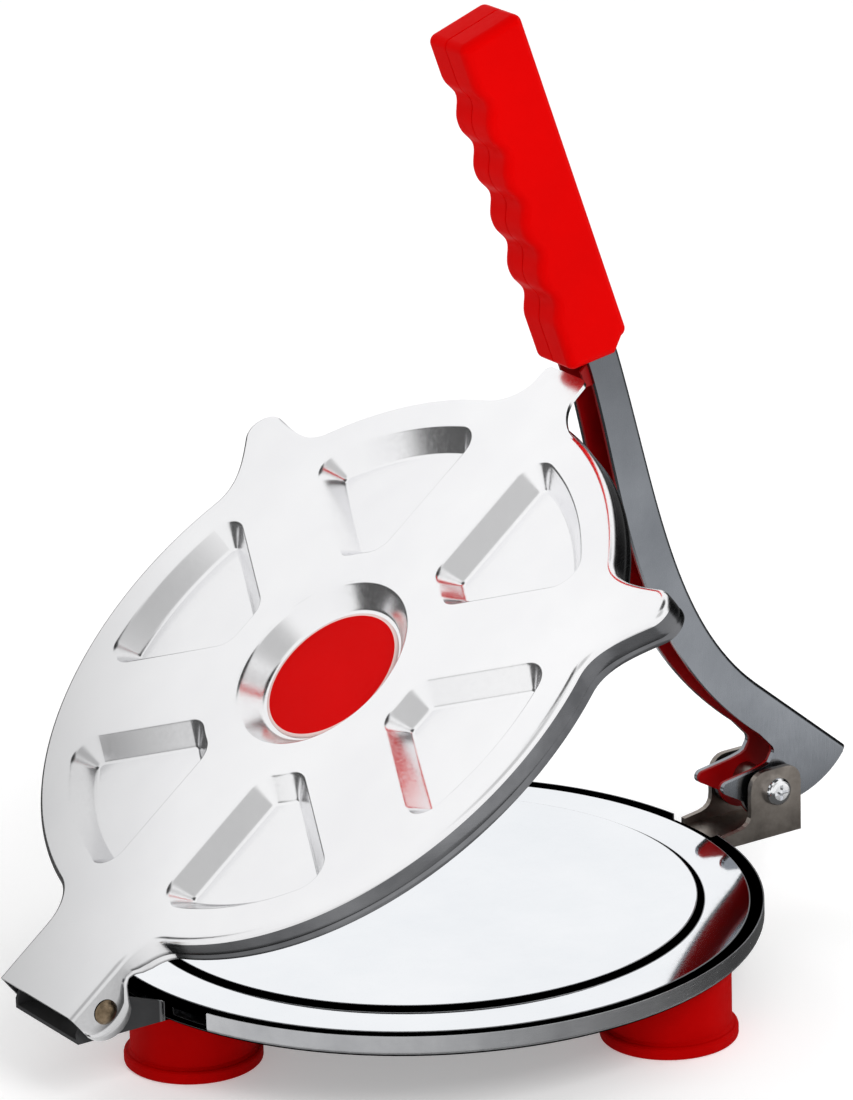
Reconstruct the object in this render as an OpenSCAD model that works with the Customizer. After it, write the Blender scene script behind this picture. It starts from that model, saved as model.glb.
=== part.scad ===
// Hand-operated tortilla and puri press: a stamped base and a stamped upper plate,
// each with a polished pressing disc, joined by a riveted hinge. A channel lever
// with a two-part moulded grip pivots in a clevis at the front of the base.
//
// X runs from the hinge to the lever, Y across the plates, Z up. The origin is the
// middle of the whole press's footprint, on the surface that it stands on.

/* [Plates] */
// Outer radius of the base pan
base_r = 85; // [83:0.5:92]
// Outer radius of the upper plate
top_r = 82.6; // [81:0.1:84]
// Sheet thickness of the two stampings
sheet_t = 1; // [0.8:0.1:1.4]
// Sheet thickness of the two pressing discs
disc_t = 0.8; // [0.6:0.1:1]
// Width of the rim round the flat working face of the base disc
press_margin = 16.8; // [12:0.1:22]
// Radius of the rounded edge between a stamping's face and its skirt
shoulder_r = 2; // [1:0.1:2.5]
// Width of the hem that is crimped over each disc
hem_w = 2.4; // [1.8:0.1:3]
// Width of the gap in the base pan's skirt at the hinge
hinge_gap_w = 56; // [32:1:64]

/* [Heights] */
// Height of the pan's underside above the table
pan_z = 18.9; // [16:0.1:26]
// Height of the base pan, from its underside to the top of its hem
pan_h = 5.6; // [5:0.1:8]
// How far the working face stands above the hem of the pan
press_rise = 1.1; // [0.6:0.1:2]
// Height of the upper plate, from its face to the bottom of its hem
top_h = 8.4; // [6.5:0.1:9]
// Gap between the hem of the pan and the hem of the upper plate when shut
shut_gap = 0.3; // [0.2:0.05:1]

/* [Pockets] */
// Number of stamped pockets in each plate
pocket_n = 6; // [4:1:6]
// Inner radius of a pocket's mouth
pocket_r1 = 34.6; // [30:0.1:40]
// Outer radius of a pocket's mouth in the upper plate
top_pocket_r2 = 72.8; // [65:0.1:76]
// Outer radius of a pocket's mouth in the base pan
pan_pocket_r2 = 71.5; // [65:0.1:72]
// Half the width of the flat spoke between two pockets
spoke_half_w = 12; // [8:0.1:13]
// Corner radius of a pocket's mouth
pocket_corner_r = 5.8; // [5.4:0.1:7]
// How far a pocket's wall leans in from its mouth to its floor
pocket_draft = 4.8; // [2.5:0.1:5]
// Radius of the round recess in the middle, at its mouth
recess_r = 25.2; // [24:0.1:28]
// Radius of the flat floor of the round recess
recess_floor_r = 19.2; // [19:0.1:22]
// Radius of the badge in the recess
badge_r = 18.8; // [15:0.1:19]
// Thickness of the badge
badge_t = 0.5; // [0.3:0.1:0.8]

/* [Lugs] */
// Distance from the plate's centre to the tip of each side lug
side_lug_r = 101.3; // [96:0.1:104]
// Angle of the side lugs from the front of the plate
side_lug_angle = 60; // [60:1:60]
// Tip radius of a side lug
side_lug_corner_r = 5.4; // [4:0.1:7]
// Distance from the plate's centre to the tip of the front tongue
tongue_r = 94.5; // [90:0.1:94.8]
// Half the width of the front tongue
tongue_half_w = 8.2; // [7:0.1:9]

/* [Hinge] */
// Distance from the base's centre to the hinge axis
hinge_x = 101.1; // [98:0.1:106]
// Distance from the upper plate's centre to the hinge axis
hinge_to_plate = 99.7; // [98:0.1:104]
// Height of the upper plate's face above the hinge axis when shut
face_above_hinge = 6.8; // [5.2:0.1:7]
// Angle at which the upper plate stands open
open_angle = 38.2; // [0:0.1:38.2]
// Half the outer width of the upper hinge tab
tab_half_w = 16.5; // [14:0.1:18]
// How far the tab reaches past the hinge axis
tab_past = 7.3; // [6:0.1:9]
// Radius of the round hinge ears
ear_r = 7.4; // [7:0.1:9]
// Radius of the hinge rivet
rivet_r = 2; // [1.5:0.1:2.5]
// Radius of the rivet's domed heads
rivet_head_r = 3.1; // [2.8:0.1:4]
// Thickness of the washers in the hinge
hinge_washer_t = 0.9; // [0.6:0.1:1.4]

/* [Clevis] */
// Distance from the base's centre to the lever's pivot
pivot_x = 102.9; // [101:0.1:108]
// Height of the lever's pivot above the table
pivot_z = 32.2; // [30:0.1:36]
// Half the outer width of the clevis
clevis_half_w = 9.2; // [8.6:0.1:10.5]
// Sheet thickness of the clevis
clevis_t = 1.5; // [1.2:0.1:2]
// Distance from the pivot to the ears' outer edge, top and sides
clevis_ear_r = 7.8; // [6:0.1:8.2]
// Radius of the pivot screw
pivot_r = 2; // [1.5:0.1:2.5]

/* [Lever] */
// Half the outer width of the lever channel
channel_half_w = 6.2; // [5.5:0.1:6.4]
// Sheet thickness of the lever channel
channel_t = 1.2; // [1:0.1:1.6]
// Thickness of the red lining inside the channel
liner_t = 0.8; // [0.6:0.1:1]
// Depth of the channel where it enters the grip
tang_depth = 9.1; // [8:0.1:10]
// Outer radius of the bush between the cheeks
bush_r = 3.6; // [3:0.1:4]

/* [Grip] */
// Length of the grip
grip_len = 92; // [80:0.5:110]
// Half the width of the grip
grip_half_w = 8.1; // [7.6:0.1:10]
// Depth of the grip at the crests between the finger hollows
grip_depth = 18.5; // [17:0.1:22]
// Depth of a finger hollow
hollow_depth = 2; // [1:0.1:2.5]
// Number of finger hollows
hollow_n = 5; // [3:1:5]
// Distance from one finger hollow to the next
hollow_pitch = 13.9; // [12:0.1:15]
// Radius of the grip's long edges
grip_edge_r = 2.4; // [1:0.1:2.8]

/* [Feet] */
// Radius of a foot's body
foot_r = 15.4; // [12:0.1:16]
// Radius of the flange at the bottom of a foot
foot_flange_r = 17; // [14:0.1:18]
// Height of the flange
foot_flange_h = 3.4; // [2:0.1:5]
// Distance of each foot from the base's centre
foot_ring_r = 67; // [60:0.5:67]
// Radius of the foot screws
foot_screw_r = 2; // [1.5:0.1:2.5]

/* [Hidden] */
$fn = 64;

// Running clearance of a pin in a part that turns on it, on the radius
run_gap = 0.06;
// Clearance of a pin in a part that it only fastens, on the radius
fit_gap = 0.04;
// Side gap between parts that turn past each other
side_gap = 0.25;
// Cuts run past the surface that they open by this much
past = 1;

// Radius of the flat working face of the base disc
press_r = base_r - press_margin;

// Heights of the stack, up from the table
press_z = pan_z + pan_h + press_rise;
disc_under_z = press_z - disc_t;
hinge_z = pan_z + pan_h + shut_gap + top_h - face_above_hinge;
pan_pocket_h = disc_under_z - pan_z - sheet_t;
top_disc_gap = 0.3;
top_disc_h = hinge_z + face_above_hinge - press_z - top_disc_gap;
top_pocket_h = top_disc_h - disc_t - sheet_t;

// The hinge, across the press
upper_ear_y = tab_half_w - sheet_t;
lower_ear_y = upper_ear_y - side_gap - hinge_washer_t;
knuckle_r = 4.2;
tongue_past = 6.7;

// The clevis
clevis_floor_z = pan_z + sheet_t;
clevis_start_x = 62;
clevis_ear_start_x = base_r + 1.5;
clevis_floor_end_x = 105;

// The lever's outline, in X and Z from its pivot
grip_slope = 70.57;
grip_top = [-72.5, 215];
along_grip = [cos(grip_slope), -sin(grip_slope)];
into_grip = [-sin(grip_slope), -cos(grip_slope)];
tang_back = 3.5;
tang_top = 14;
tang_end = 94.6;
heel_corner = [24.6, 5.6];
back_bend = [[-32.9, 86.2], [-28.7, 49.8], [-2.5, 28.1]];
front_bend = [[-42.4, 87.1], [-42.4, 45.8], [-2.7, 14.9]];
nose_tip = [-14.4, 2.4];
nose_r = 1.6;
heel_r = 8.3;
bumper_end = 98.8;
bumper_front = 14.9;

// Angles of the three feet, seen from above
foot_angles = [180, -60, 60];

// ---- outlines ----

// Points on an arc from angle a0 to a1
function arc_pts(c, r, a0, a1, n) =
    [for (i = [0:n]) let (a = a0 + (a1 - a0) * i / n) c + r * [cos(a), sin(a)]];

// Points on a cubic curve
function curve_pts(p0, p1, p2, p3, n) =
    [for (i = [0:n]) let (t = i / n, s = 1 - t)
        s * s * s * p0 + 3 * s * s * t * p1 + 3 * s * t * t * p2 + t * t * t * p3];

function reversed(p) = [for (i = [len(p) - 1:-1:0]) p[i]];
function mirrored(p) = [for (q = p) [q.x, -q.y]];
function turned(p, a) =
    [for (q = p) [q.x * cos(a) - q.y * sin(a), q.x * sin(a) + q.y * cos(a)]];

// A path moved sideways by d, to the left of its direction
function beside(p, d) =
    [for (i = [0:len(p) - 1]) let (
        a = p[max(i - 1, 0)],
        b = p[min(i + 1, len(p) - 1)],
        t = (b - a) / norm(b - a)) p[i] + d * [-t.y, t.x]];

// Half of a pocket's mouth, e inside the nominal outline: from its inner end to its rim
function pocket_half(r2, e) = let (
    half_pitch = 180 / pocket_n,
    r = pocket_corner_r - e,
    side = spoke_half_w + pocket_corner_r,
    inner = [sqrt(pow(pocket_r1 + pocket_corner_r, 2) - side * side), side],
    outer = [sqrt(pow(r2 - pocket_corner_r, 2) - side * side), side],
    inner_a = atan2(inner.y, inner.x),
    outer_a = atan2(outer.y, outer.x))
    concat(
        [(pocket_r1 + e) * [cos(half_pitch), sin(half_pitch)]],
        arc_pts(inner, r, 180 + inner_a, 270, 4),
        arc_pts(outer, r, -90, outer_a, 4),
        arc_pts([0, 0], r2 - e, outer_a + (half_pitch - outer_a) / 3, half_pitch, 2));

// The whole mouth of the pocket that lies along +X, counter-clockwise
function pocket_outline(r2, e) = let (
    half = turned(pocket_half(r2, e), -180 / pocket_n))
    concat(half, [for (i = [len(half) - 2:-1:1]) [half[i].x, -half[i].y]]);

// Outline of a lug along +X that blends into a rim, e inside the nominal outline, from
// its lower foot round the tip to its upper foot
function lug_outline(rim, tip, half_w, corner, spread, flare, flank, e) = let (
    r = max(corner - e, 0.3),
    c = [tip - e - r, half_w - e - r],
    foot = (rim - e) * [cos(spread), sin(spread)],
    inward = [-cos(flare), sin(flare)],
    side = c + r * [sin(flare), cos(flare)],
    start = side + flank * inward,
    reach = start.x - foot.x,
    upper = concat(
        curve_pts(foot, foot + 0.42 * reach * [sin(spread), -cos(spread)],
            start + 0.5 * reach * inward, start, 6),
        [side],
        arc_pts(c, r, 80 - flare, 0, 4)))
    concat(mirrored(upper), reversed(upper));

// The three lugs that share the upper plate's skirt: angle, and the values above
plate_lugs = [
    [-side_lug_angle, side_lug_r, side_lug_corner_r + 0.3, side_lug_corner_r, 12, 18, 0.5],
    [side_lug_angle, side_lug_r, side_lug_corner_r + 0.3, side_lug_corner_r, 12, 18, 0.5],
    [180, hinge_to_plate + tab_past, tab_half_w, 0.8, 17, 0, 14]];

// Outline of the upper plate with its lugs, e inside its surface
function plate_outline(e) = [for (i = [0:2]) let (
    v = plate_lugs[i],
    next = plate_lugs[(i + 1) % 3],
    a0 = v[0] + v[4],
    a1 = next[0] - next[4] + (i == 2 ? 360 : 0),
    n = round((a1 - a0) / 5))
    each concat(
        turned(lug_outline(top_r, v[1], v[2], v[3], v[4], v[5], v[6], e), v[0]),
        [for (k = [1:n - 1]) (top_r - e) * [cos(a0 + (a1 - a0) * k / n), sin(a0 + (a1 - a0) * k / n)]])];

// Steps of a rounded edge: how far in, and how far down, at each ring
function round_steps(r) = [for (a = [90, 60, 30, 0]) [r * (1 - cos(a)), r * (1 - sin(a))]];

// The middle of the footprint, so that the origin lies under it
hinge_end_x = min([for (s = round_steps(shoulder_r))
    -hinge_x - (tab_past - s[0]) * cos(open_angle) - (face_above_hinge - s[1]) * sin(open_angle)]);
x_shift = -(hinge_end_x + pivot_x + heel_corner.x) / 2;

// ---- helpers ----

// A closed solid through rings of points, from the lowest to the highest
module loft(rings) {
    n = len(rings[0]);
    m = len(rings);
    polyhedron(
        points = [for (ring = rings) each ring],
        faces = concat(
            [[for (i = [0:n - 1]) i]],
            [[for (i = [n - 1:-1:0]) (m - 1) * n + i]],
            [for (k = [0:m - 2]) for (i = [0:n - 1])
                [k * n + i, (k + 1) * n + i, (k + 1) * n + (i + 1) % n, k * n + (i + 1) % n]]));
}

// A flat outline lifted to a height
function at_z(p, z) = [for (q = p) [q.x, q.y, z]];

// Places things that are measured from the centre of the base
module from_base() {
    translate([x_shift, 0, 0])
        children();
}

// Places things that turn with the upper plate, measured from its centre at hinge height
module from_plate() {
    from_base()
        translate([-hinge_x, 0, hinge_z])
            rotate([0, -open_angle, 0])
                translate([hinge_to_plate, 0, 0])
                    children();
}

// Places things that are measured from the lever's pivot
module from_pivot() {
    from_base()
        translate([pivot_x, 0, pivot_z])
            children();
}

// A cylinder along Y, from y0 to y1
module rod_y(r, y0, y1) {
    translate([0, y1, 0])
        rotate([90, 0, 0])
            cylinder(r = r, h = y1 - y0);
}

// A plate in the X-Z plane with the given outline, from y0 to y1
module slab_y(outline, y0, y1) {
    translate([0, y1, 0])
        rotate([90, 0, 0])
            linear_extrude(height = y1 - y0)
                polygon(outline);
}

// ---- stampings, drawn with the outer face up at z = 0 ----

// The filled form of a round stamping, e inside its outer surface
module dish_form(r, h, e) {
    edge = max(shoulder_r - e, 0.4);
    rotate_extrude($fn = 128)
        polygon(concat(
            [[0, -e], [0, -h]],
            [[r - e, -h]],
            arc_pts([r - e - edge, -e - edge], edge, 0, 90, 6)));
}

// The stamped sheet of the round recess in the middle
module recess_sheet(depth) {
    wall = curve_pts([recess_floor_r, -depth], [recess_floor_r + 2.8, -depth],
        [recess_r - 2.8, 0], [recess_r, 0], 8);
    rotate_extrude($fn = 96)
        polygon(concat(
            [[0, -depth]],
            wall,
            reversed(beside(wall, -sheet_t)),
            [[0, -depth - sheet_t]]));
}

// The hole that the round recess leaves in the flat sheet
module recess_mouth(depth) {
    wall = curve_pts([recess_floor_r, -depth], [recess_floor_r + 2.8, -depth],
        [recess_r - 2.8, 0], [recess_r, 0], 8);
    rotate_extrude($fn = 96)
        polygon(concat([[0, -depth]], wall, [[recess_r, past], [0, past]]));
}

// The form of one pocket, e outside its inner surface
module pocket_form(r2, depth, e) {
    lip = 1.2;
    loft([
        at_z(pocket_outline(r2, pocket_draft - e), -depth - e),
        at_z(pocket_outline(r2, pocket_draft * 0.72 - e), -depth * 0.8 - e),
        at_z(pocket_outline(r2, pocket_draft * 0.3 - e), -depth * 0.25 - e),
        at_z(pocket_outline(r2, -lip * (1 - e / sheet_t) - e / 2), e > 0 ? -sheet_t / 2 : past / 10)]);
}

// Repeats a pocket between the spokes
module each_pocket() {
    for (i = [0:pocket_n - 1])
        rotate([0, 0, (i + 0.5) * 360 / pocket_n])
            children();
}

// A stamping with its pockets, recess and hem. Child 0 is its filled outer form and
// child 1 the space inside its skirt
module stamping(r, h, r2, pocket_h) {
    difference() {
        union() {
            difference() {
                children(0);
                children(1);
            }
            each_pocket()
                pocket_form(r2, pocket_h, sheet_t);
            hem(r, h);
        }
        each_pocket()
            pocket_form(r2, pocket_h, 0);
        recess_mouth(pocket_h);
    }
    recess_sheet(pocket_h);
}

// The hem that is turned in under the disc
module hem(r, h) {
    hem_t = sheet_t;
    rotate_extrude($fn = 128)
        translate([r - hem_w, -h])
            square([hem_w - sheet_t / 2, hem_t]);
}

// The filled form of the upper plate with its lugs, e inside its outer surface: a rounded
// form that runs past its flat faces and is cut to them
module plate_form(h, e) {
    edge = shoulder_r - e;
    reach = side_lug_r + 10;
    intersection() {
        loft(concat(
            [at_z(plate_outline(e), -h - past)],
            [for (s = reversed(round_steps(edge))) at_z(plate_outline(e + s[0]), -e - s[1])],
            [at_z(plate_outline(e + edge), past - e)]));
        translate([-reach, -reach, -h])
            cube([2 * reach, 2 * reach, h - e]);
    }
}

// ---- base ----

module base_pan() {
    // how far the gap at the hinge reaches in, past the hem
    gap_depth = base_r - (base_r - hem_w - 1) * cos(asin(hinge_gap_w / 2 / base_r));
    color("silver")
        from_base()
            union() {
                difference() {
                    translate([0, 0, pan_z])
                        rotate([180, 0, 0])
                            stamping(base_r, pan_h, pan_pocket_r2, pan_pocket_h) {
                                dish_form(base_r, pan_h, 0);
                                dish_form(base_r, pan_h + past, sheet_t);
                            }
                    // the hinge tongue and the clevis leave through gaps in the skirt
                    translate([-base_r - past, -hinge_gap_w / 2, pan_z + sheet_t])
                        cube([gap_depth + past, hinge_gap_w, pan_h]);
                    translate([base_r - 6, -clevis_half_w - side_gap, clevis_floor_z])
                        cube([6 + past, 2 * (clevis_half_w + side_gap), pan_h]);
                    for (a = foot_angles)
                        rotate([0, 0, a])
                            translate([foot_ring_r, 0, pan_z - past])
                                cylinder(r = foot_screw_r + fit_gap, h = sheet_t + 2 * past);
                    for (x = clevis_rivet_x)
                        translate([x, 0, pan_z - past])
                            cylinder(r = clevis_rivet_r + fit_gap, h = sheet_t + 2 * past);
                }
                hinge_tongue();
            }
}

// The tongue of the pan that carries the two lower hinge ears
module hinge_tongue() {
    root_x = -base_r + 6;
    end_x = -hinge_x - tongue_past;
    translate([end_x, -lower_ear_y, pan_z])
        cube([root_x - end_x, 2 * lower_ear_y, sheet_t]);
    ear = concat(
        [[-tongue_past, pan_z - hinge_z], [-tongue_past, pan_z - hinge_z + 2.5]],
        arc_pts([0, 0], knuckle_r, 165, 40, 8),
        [[hinge_x - base_r + 1, pan_z + pan_h - hinge_z - 0.5],
            [hinge_x - base_r + 6, pan_z + pan_h - hinge_z - 2],
            [hinge_x - base_r + 6, pan_z - hinge_z]]);
    for (y = [-lower_ear_y, lower_ear_y - sheet_t])
        difference() {
            translate([-hinge_x, 0, hinge_z])
                slab_y(ear, y, y + sheet_t);
            translate([-hinge_x, 0, hinge_z])
                rod_y(rivet_r + fit_gap, y - past, y + sheet_t + past);
        }
}

// The working face steps down to a flat ring, whose edge is crimped under the hem
module base_disc() {
    step_h = 1.2;
    step_slope = 29;
    step_edge_r = 0.6;
    ring_z = press_z - step_h;
    rim_z = pan_z + pan_h - sheet_t;
    rim_r = base_r - sheet_t - 0.1;
    bend_r = base_r - hem_w - 0.6;
    top_line = concat(
        [[0, press_z]],
        arc_pts([press_r, press_z - step_edge_r], step_edge_r, 90, 90 - step_slope, 3),
        [[press_r + step_h / tan(step_slope), ring_z], [bend_r - 0.6, ring_z], [bend_r, rim_z],
            [rim_r, rim_z]]);
    color("gainsboro")
        from_base()
            rotate_extrude($fn = 128)
                polygon(concat(top_line, reversed([for (p = top_line) p - [0, disc_t]])));
}

clevis_rivet_x = [67.5, 76];
clevis_rivet_r = 1.6;

module lever_clevis() {
    left = -clevis_ear_r;
    right = clevis_ear_r;
    floor_z = clevis_floor_z - pivot_z;
    corner = 4.5;
    ear = concat(
        [[clevis_ear_start_x - pivot_x, floor_z], [clevis_ear_start_x - pivot_x, floor_z + 3.2]],
        curve_pts([clevis_ear_start_x - pivot_x + 3, floor_z + 3.6], [left - 1.5, floor_z + 4],
            [left, floor_z + 5], [left, floor_z + 8], 5),
        arc_pts([left + corner, clevis_ear_r - 2 - corner], corner, 180, 90, 5),
        arc_pts([right - corner, clevis_ear_r - 2 - corner], corner, 90, 0, 5),
        [[right, floor_z]]);
    color("rosybrown")
        from_base()
            difference() {
                union() {
                    translate([clevis_start_x, -clevis_half_w, clevis_floor_z])
                        cube([clevis_floor_end_x - clevis_start_x, 2 * clevis_half_w, clevis_t]);
                    translate([pivot_x, 0, pivot_z])
                        for (y = [-clevis_half_w, clevis_half_w - clevis_t])
                            slab_y(ear, y, y + clevis_t);
                }
                translate([pivot_x, 0, pivot_z])
                    rod_y(pivot_r + fit_gap, -clevis_half_w - past, clevis_half_w + past);
                for (x = clevis_rivet_x)
                    translate([x, 0, clevis_floor_z - past])
                        cylinder(r = clevis_rivet_r + fit_gap, h = clevis_t + 2 * past);
            }
}

module clevis_rivets() {
    head_h = 0.9;
    grip_h = sheet_t + clevis_t;
    color("darkgray")
        from_base()
            for (x = clevis_rivet_x)
                translate([x, 0, pan_z - head_h]) {
                    cylinder(r = clevis_rivet_r * 1.9, h = head_h);
                    cylinder(r = clevis_rivet_r, h = grip_h + 2 * head_h);
                    translate([0, 0, head_h + grip_h])
                        cylinder(r = clevis_rivet_r * 1.9, h = head_h);
                }
}

module hinge_rivet() {
    head_h = 1.5;
    head_y = tab_half_w + side_gap;
    ball_r = (rivet_head_r * rivet_head_r + head_h * head_h) / (2 * head_h);
    dome = concat(
        [[0, 0]],
        arc_pts([0, head_h - ball_r], ball_r, asin((ball_r - head_h) / ball_r), 90, 6));
    color("darkgoldenrod")
        from_base()
            translate([-hinge_x, 0, hinge_z]) {
                rod_y(rivet_r, -head_y - 0.3, head_y + 0.3);
                for (side = [-1, 1])
                    translate([0, side * head_y, 0])
                        rotate([-90 * side, 0, 0])
                            rotate_extrude()
                                polygon(dome);
            }
}

module hinge_washers() {
    color("silver")
        from_base()
            translate([-hinge_x, 0, hinge_z])
                for (y = [-lower_ear_y - hinge_washer_t, lower_ear_y])
                    difference() {
                        rod_y(knuckle_r, y, y + hinge_washer_t);
                        rod_y(rivet_r + fit_gap, y - past, y + hinge_washer_t + past);
                    }
}

// The pivot screw: a pan head with a cross recess, on the near side
pivot_head_r = 3.7;
pivot_head_h = 2.4;
pivot_nut_h = 3;

module pivot_screw() {
    head_profile = concat(
        [[0, 0], [pivot_head_r, 0], [pivot_head_r, pivot_head_h * 0.35]],
        arc_pts([pivot_head_r - 1.6, pivot_head_h - 1.6], 1.6, 10, 90, 5),
        [[0, pivot_head_h]]);
    color("gainsboro")
        from_pivot() {
            rod_y(pivot_r, -clevis_half_w - 0.5, clevis_half_w + pivot_nut_h + 1.2);
            translate([0, -clevis_half_w, 0])
                rotate([90, 0, 0])
                    difference() {
                        rotate_extrude()
                            polygon(head_profile);
                        for (a = [0, 90])
                            rotate([0, 0, a])
                                translate([-2, -0.45, pivot_head_h - 1.2])
                                    cube([4, 0.9, 1.2 + past]);
                    }
        }
}

module pivot_nut() {
    color("silver")
        from_pivot()
            difference() {
                translate([0, clevis_half_w + pivot_nut_h, 0])
                    rotate([90, 0, 0])
                        cylinder(r = 2.02 * pivot_r, h = pivot_nut_h, $fn = 6);
                rod_y(pivot_r + fit_gap, clevis_half_w - past, clevis_half_w + pivot_nut_h + past);
            }
}

module pivot_washers() {
    washer_y = clevis_half_w - clevis_t;
    washer_t = washer_y - channel_half_w - side_gap;
    color("dimgray")
        from_pivot()
            for (y = [-washer_y, washer_y - washer_t])
                difference() {
                    rod_y(clevis_ear_r - 2.2, y, y + washer_t);
                    rod_y(pivot_r + fit_gap, y - past, y + washer_t + past);
                }
}

// A stepped rubber foot, hollowed from below for its screw
foot_well_r = 4.6;
foot_web_t = 4;

module foot(a) {
    profile = concat(
        [[foot_well_r, 0]],
        arc_pts([foot_flange_r - 0.8, 0.8], 0.8, -90, 0, 3),
        arc_pts([foot_flange_r - 1, foot_flange_h - 1], 1, 0, 90, 3),
        [[foot_r, foot_flange_h + 0.6], [foot_r, pan_z - 0.9]],
        arc_pts([foot_r - 0.9, pan_z - 0.9], 0.9, 0, 90, 3),
        [[foot_screw_r + fit_gap, pan_z], [foot_screw_r + fit_gap, pan_z - foot_web_t],
            [foot_well_r, pan_z - foot_web_t]]);
    color("firebrick")
        from_base()
            rotate([0, 0, a])
                translate([foot_ring_r, 0, 0])
                    rotate_extrude($fn = 96)
                        polygon(profile);
}

module foot_hinge_side() {
    foot(foot_angles[0]);
}

module foot_near() {
    foot(foot_angles[1]);
}

module foot_far() {
    foot(foot_angles[2]);
}

foot_washer_t = 0.8;
foot_nut_h = 2.6;
foot_head_h = 2.2;

// Repeats a fastener at each foot, measured from the face that it bears on
module each_foot(z) {
    from_base()
        for (a = foot_angles)
            rotate([0, 0, a])
                translate([foot_ring_r, 0, z])
                    children();
}

module foot_screws() {
    bearing_z = pan_z - foot_web_t - foot_washer_t;
    color("silver")
        each_foot(bearing_z) {
            translate([0, 0, -foot_head_h])
                difference() {
                    cylinder(r = foot_screw_r * 1.8, h = foot_head_h);
                    for (a = [0, 90])
                        rotate([0, 0, a])
                            translate([-2, -0.45, -past])
                                cube([4, 0.9, past + 1]);
                }
            cylinder(r = foot_screw_r, h = foot_web_t + foot_washer_t + sheet_t + foot_nut_h + 0.4);
        }
}

module foot_washers() {
    color("darkgray")
        each_foot(pan_z - foot_web_t - foot_washer_t)
            difference() {
                cylinder(r = foot_well_r - 0.2, h = foot_washer_t);
                translate([0, 0, -past])
                    cylinder(r = foot_screw_r + fit_gap, h = foot_washer_t + 2 * past);
            }
}

module foot_nuts() {
    color("silver")
        each_foot(pan_z + sheet_t)
            difference() {
                cylinder(r = 2.02 * foot_screw_r, h = foot_nut_h, $fn = 6);
                translate([0, 0, -past])
                    cylinder(r = foot_screw_r + fit_gap, h = foot_nut_h + 2 * past);
            }
}

// ---- upper plate ----

module top_stamping() {
    notch_r = 4;
    color("lightgray")
        from_plate()
            difference() {
                union() {
                    translate([0, 0, face_above_hinge])
                        stamping(top_r, top_h, top_pocket_r2, top_pocket_h) {
                            plate_form(top_h, 0);
                            plate_form(top_h + past, sheet_t);
                        }
                    front_tongue();
                    translate([-hinge_to_plate, 0, 0])
                        upper_ears();
                }
                translate([-hinge_to_plate, 0, 0]) {
                    rod_y(rivet_r + run_gap, -tab_half_w - past, tab_half_w + past);
                    translate([9.5, 0, -3.2])
                        rod_y(notch_r, -tab_half_w - 9, tab_half_w + 9);
                }
                // the skirt's end wall and the hem stop at the hinge tab
                translate([-hinge_to_plate - tab_past - past, -upper_ear_y, -top_h])
                    cube([28, 2 * upper_ear_y, top_h + face_above_hinge - sheet_t]);
            }
}

// The flat tongue that the lever's noses bear on
module front_tongue() {
    outline = lug_outline(top_r - shoulder_r / 2, tongue_r, tongue_half_w, 2, 13, 2, 3, 0);
    translate([0, 0, face_above_hinge - sheet_t])
        linear_extrude(height = sheet_t)
            polygon(concat([[70, 0]], outline));
}

// The round ears that hang from the sides of the hinge tab
module upper_ears() {
    for (y = [-tab_half_w, upper_ear_y])
        intersection() {
            rod_y(ear_r, y, y + sheet_t);
            translate([-ear_r, y - past, -ear_r])
                cube([2 * ear_r, sheet_t + 2 * past, ear_r + face_above_hinge - shoulder_r]);
        }
}

module top_disc() {
    edge_r = top_r - sheet_t - 0.2;
    z = face_above_hinge - top_disc_h;
    color("gainsboro")
        from_plate()
            translate([0, 0, z])
                cylinder(r = edge_r, h = disc_t, $fn = 128);
}

module centre_badge() {
    color("red")
        from_plate()
            translate([0, 0, face_above_hinge - top_pocket_h])
                cylinder(r = badge_r, h = badge_t, $fn = 96);
}

// ---- lever, measured from its pivot ----

function grip_pt(s, w) = grip_top + s * along_grip + w * into_grip;

back_edge = concat(
    [grip_pt(tang_top, tang_back)],
    curve_pts(grip_pt(tang_end, tang_back), back_bend[0], back_bend[1], back_bend[2], 14),
    [heel_corner]);

front_edge = concat(
    [grip_pt(tang_top, tang_back + tang_depth)],
    curve_pts(grip_pt(tang_end, tang_back + tang_depth), front_bend[0], front_bend[1],
        front_bend[2], 14));

// From the heel corner, under the pivot, round the nose and up to the notch
foot_edge = concat(
    curve_pts(heel_corner, [21.5, 0.5], [15.5, -3.4], [9.2, -4.8], 5),
    arc_pts([0, 0], heel_r, -50, -165, 8),
    arc_pts(nose_tip + [nose_r, 0], nose_r, 235, 100, 5),
    curve_pts([-5.5, 5.1], [-2.5, 5.6], [-0.6, 5.9], [0.4, 6.7], 3),
    arc_pts([-0.4, 9.4], 2.1, -20, 50, 4));

cheek_outline = concat(back_edge, foot_edge, reversed(front_edge));

// The space inside the channel, d in from the outside of its back
function channel_space(d) = concat(
    beside(concat([back_edge[0] - 20 * along_grip], back_edge, [heel_corner + [12, -9.8]]), -d),
    [[30, -30], [-40, -30], [-80, 100], grip_pt(-20, 40)]);

module lever_channel() {
    inner = channel_half_w - channel_t;
    color("slategray")
        from_pivot()
            difference() {
                slab_y(cheek_outline, -channel_half_w, channel_half_w);
                slab_y(channel_space(channel_t), -inner, inner);
                rod_y(pivot_r + run_gap, -channel_half_w - past, channel_half_w + past);
            }
}

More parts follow.
